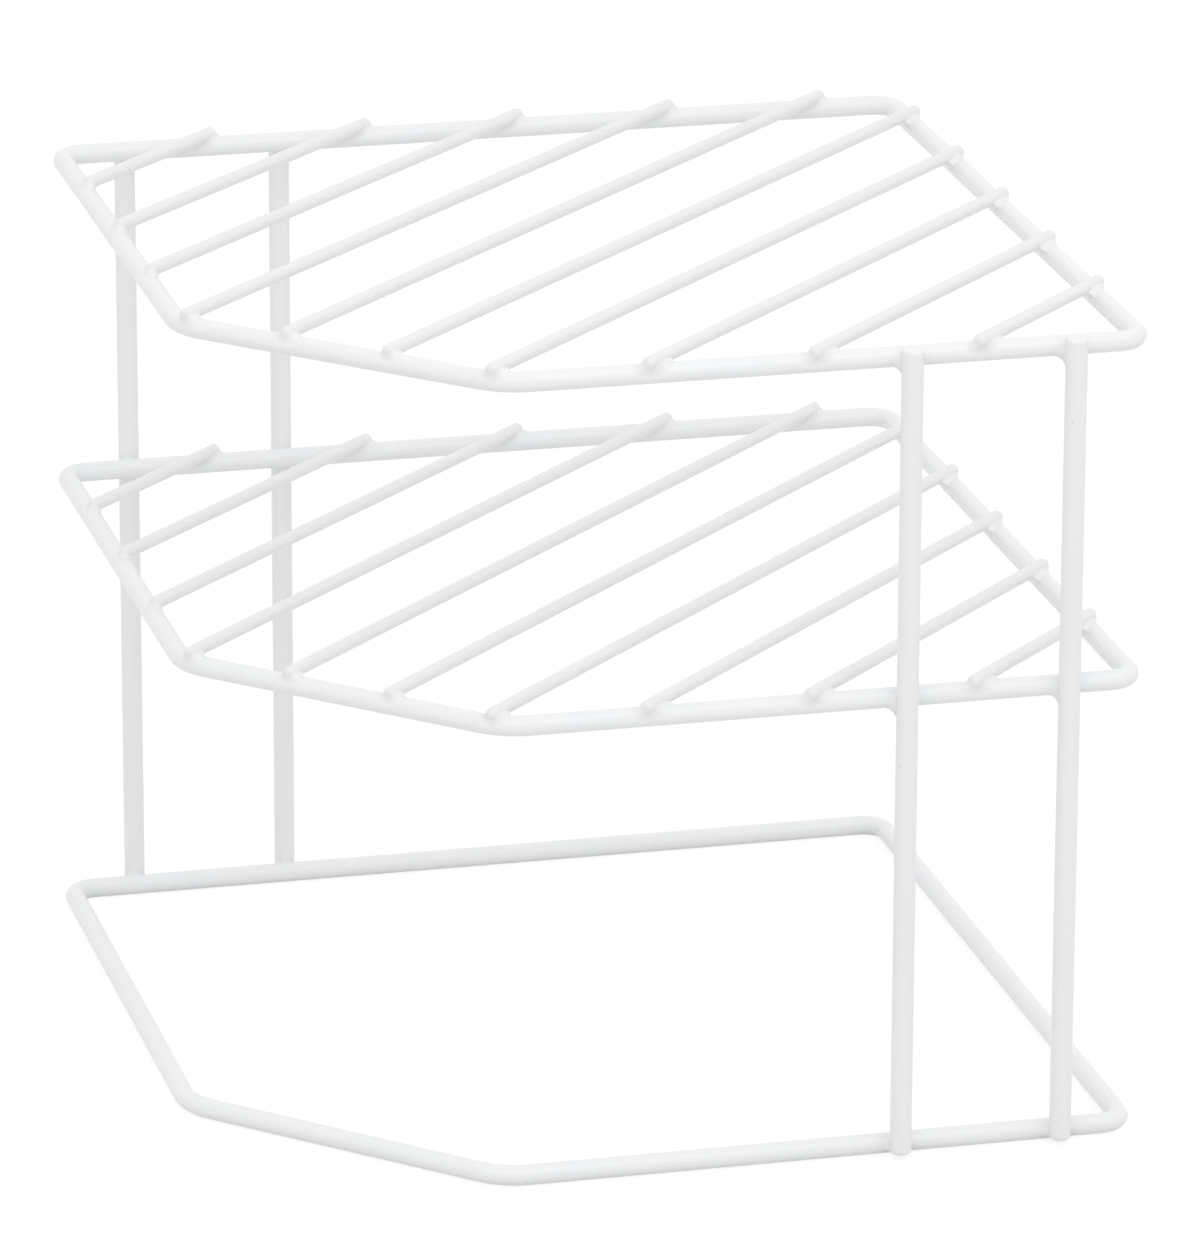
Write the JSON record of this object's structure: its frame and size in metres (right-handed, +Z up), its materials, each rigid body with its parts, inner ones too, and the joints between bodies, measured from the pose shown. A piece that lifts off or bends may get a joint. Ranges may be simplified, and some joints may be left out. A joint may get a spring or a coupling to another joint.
{
  "type": "corner wire shelf organizer",
  "caption": "Tiered corner rack of white coated steel wire: stacked square loops with one corner cut, joined by upright wires, with slanting cross wires as shelves.",
  "frame": {"origin": "on the table, under the middle of the square that the loops follow", "axes": "+Z up; +Y towards the back wall side, +X towards the right wall side, so the wall corner is at +X +Y and the cut corner faces -X -Y"},
  "size_m": [0.2598, 0.2702, 0.2384],
  "materials": {
    "heavy_wire": "white coating with a soft shine, on steel wire",
    "cross_wire": "white coating with a soft shine, on thinner steel wire"
  },
  "bodies": {
    "root": {"bottom_loop": "heavy_wire", "middle_loop": "heavy_wire", "top_loop": "heavy_wire", "back_left_post": "heavy_wire", "back_inner_post": "heavy_wire", "front_inner_post": "heavy_wire", "front_right_post": "heavy_wire", "middle_cross_wire_01": "cross_wire", "middle_cross_wire_02": "cross_wire", "middle_cross_wire_03": "cross_wire", "middle_cross_wire_04": "cross_wire", "middle_cross_wire_05": "cross_wire", "middle_cross_wire_06": "cross_wire", "middle_cross_wire_07": "cross_wire", "middle_cross_wire_08": "cross_wire", "middle_cross_wire_09": "cross_wire", "middle_cross_wire_10": "cross_wire", "top_cross_wire_01": "cross_wire", "top_cross_wire_02": "cross_wire", "top_cross_wire_03": "cross_wire", "top_cross_wire_04": "cross_wire", "top_cross_wire_05": "cross_wire", "top_cross_wire_06": "cross_wire", "top_cross_wire_07": "cross_wire", "top_cross_wire_08": "cross_wire", "top_cross_wire_09": "cross_wire", "top_cross_wire_10": "cross_wire"}
  },
  "joints": []
}
